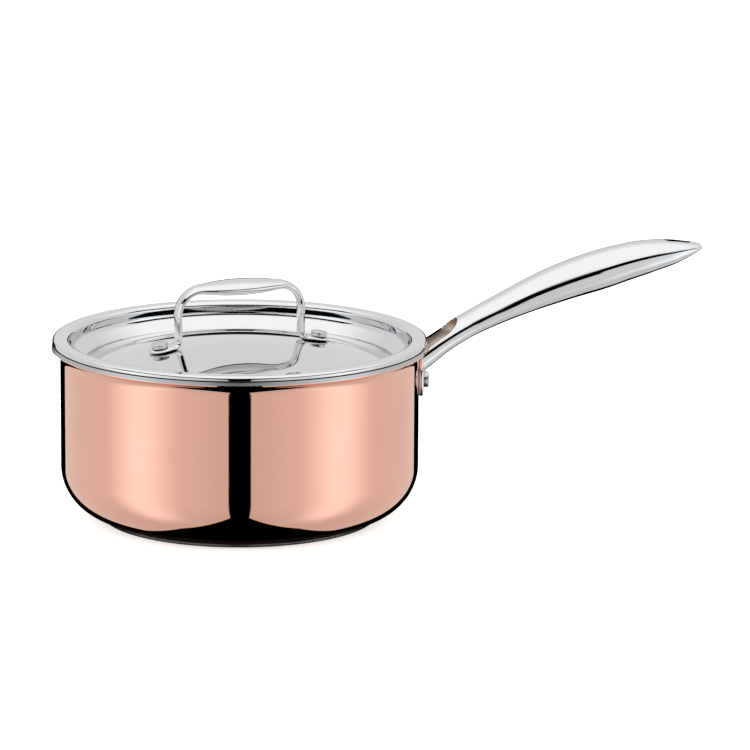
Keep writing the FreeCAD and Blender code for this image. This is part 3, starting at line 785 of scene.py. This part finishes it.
def make_studio():
    """White to the eye; in reflections, wide soft panels with dark gaps between them."""
    world = bpy.data.worlds.new("studio")
    bpy.context.scene.world = world
    world.use_nodes = True
    tree = world.node_tree
    tree.nodes.clear()
    spot = put(tree, "ShaderNodeTexCoord")
    ahead = Vector((math.sin(CAMERA_AZIMUTH), -math.cos(CAMERA_AZIMUTH), 0))
    aside = Vector((math.cos(CAMERA_AZIMUTH), math.sin(CAMERA_AZIMUTH), 0))

    def share(direction):
        return put(tree, "ShaderNodeVectorMath", {"operation": "DOT_PRODUCT"}, {1: direction},
                   {0: spot.outputs["Generated"]}).outputs["Value"]

    def sum_of(operation, first, second=None, number=None):
        made = put(tree, "ShaderNodeMath", {"operation": operation}, links={0: first})
        if second is not None:
            tree.links.new(second, made.inputs[1])
        elif number is not None:
            made.inputs[1].default_value = number
        return made.outputs["Value"]

    def ramp(value, low, high, dark=0.0, bright=1.0):
        return put(tree, "ShaderNodeMapRange", {"interpolation_type": "SMOOTHSTEP"},
                   {"From Min": low, "From Max": high, "To Min": dark, "To Max": bright},
                   {"Value": value}).outputs["Result"]

    front, side, up = share(ahead), share(aside), share(Vector((0, 0, 1)))
    degrees = 180 / math.pi
    swing = sum_of("MULTIPLY", sum_of("ARCTAN2", sum_of("ABSOLUTE", side), front), number=degrees)
    rise = sum_of("MULTIPLY", sum_of("ARCSINE", up), number=degrees)

    # dark parts: the table below, the gap round the camera that opens upwards, the room low behind
    table_spread, table_near = 0.38, -0.25
    gap_width, gap_spread = 0.123, 0.9
    room_spread, room_low, room_high = -0.53, 0.10, 0.12
    panel_low, panel_high = 0.38, 0.41
    soft_inside, soft_outside = -0.004, 0.008
    drop = sum_of("MAXIMUM", sum_of("MULTIPLY", up, number=-1), number=0.0)
    lift = sum_of("MAXIMUM", up, number=0.0)
    near = sum_of("MAXIMUM", front, number=0.0)
    back_off = sum_of("MULTIPLY", front, ramp(up, room_high, room_low))
    table = sum_of("ADD", sum_of("MULTIPLY", drop, number=table_spread),
                   sum_of("MULTIPLY", near, number=table_near))
    gap = sum_of("ADD", sum_of("MULTIPLY", front, number=gap_width),
                 sum_of("MULTIPLY", lift, number=gap_spread))
    room = sum_of("MULTIPLY", back_off, number=room_spread)
    edge = sum_of("MAXIMUM", sum_of("MAXIMUM", table, gap), room)
    beside = sum_of("SUBTRACT", sum_of("ABSOLUTE", side), edge)
    open_side = sum_of("MULTIPLY", ramp(beside, soft_inside, soft_outside),
                       ramp(up, panel_high, panel_low))

    # front panels with a hot centre, a little weaker low down and beside the gap; angles in degrees
    hot = sum_of("MULTIPLY", ramp(swing, 36, 66), ramp(swing, 98, 68))
    even = sum_of("MULTIPLY", ramp(rise, -75, -10, 0.82, 1), ramp(swing, 4, 40, 0.87, 1))
    panel = sum_of("MULTIPLY", sum_of("MULTIPLY", open_side, even), number=PANEL_LEVEL)
    glare = sum_of("MULTIPLY", sum_of("MULTIPLY", open_side, hot), ramp(rise, -66, -40))
    # ceiling and the wall behind
    arch_over = ramp(rise, 39, 42)
    behind = sum_of("MULTIPLY", ramp(front, 0.01, -0.01), ramp(up, room_low, room_high))
    top = sum_of("MAXIMUM", arch_over, behind)
    ceiling = sum_of("MULTIPLY", top, ramp(rise, 25, 60, 0.80, 1.2))
    both = sum_of("MAXIMUM", panel, ceiling)
    light = put(tree, "ShaderNodeCombineXYZ")
    for axis, extra in zip("XYZ", GLARE_COLOUR):
        tree.links.new(sum_of("ADD", both, sum_of("MULTIPLY", glare, number=extra)), light.inputs[axis])
    glow = put(tree, "ShaderNodeBackground", links={"Color": light.outputs["Vector"]})
    plain = put(tree, "ShaderNodeBackground", sockets={"Color": (1, 1, 1, 1), "Strength": WHITE_LEVEL})
    rays = put(tree, "ShaderNodeLightPath")
    mix = put(tree, "ShaderNodeMixShader",
              links={0: rays.outputs["Is Glossy Ray"], 1: plain.outputs["Background"],
                     2: glow.outputs["Background"]})
    put(tree, "ShaderNodeOutputWorld", links={"Surface": mix.outputs["Shader"]})


def make_floor():
    """Plain pale sweep that reflections do not see, since the studio stands in for it there."""
    bpy.ops.object.select_all(action="DESELECT")
    bpy.ops.mesh.primitive_plane_add(size=FLOOR_SIZE)
    floor = bpy.context.object
    floor.name = "floor"
    made, _, shader = finish("floor_white_sweep", "#F4F4F2", 0.9, metallic=0.0)
    shader.inputs["Emission Color"].default_value = (1, 1, 1, 1)
    shader.inputs["Emission Strength"].default_value = FLOOR_GLOW
    coat(floor, made)
    floor.visible_glossy = False


def make_shadow_card():
    """A black disc under the pan that only reflections see: a painted shadow, standing in for the floor in
    shade beneath the pan.
    """
    bpy.ops.object.select_all(action="DESELECT")
    bpy.ops.mesh.primitive_circle_add(vertices=128, radius=CARD_RADIUS, fill_type="NGON",
                                      location=(0, 0, CARD_LEVEL))
    card = bpy.context.object
    card.name = "painted_shadow_card"
    # black here is painted shadow of the floor under the pan, seen only in reflections
    coat(card, finish("card_black_painted_floor_shadow", "#0A0A0A", 0.9, metallic=0.0)[0])
    card.visible_camera = card.visible_diffuse = card.visible_shadow = False


make_camera()
make_studio()
make_floor()
make_shadow_card()
bpy.context.scene.view_settings.view_transform = "Standard"
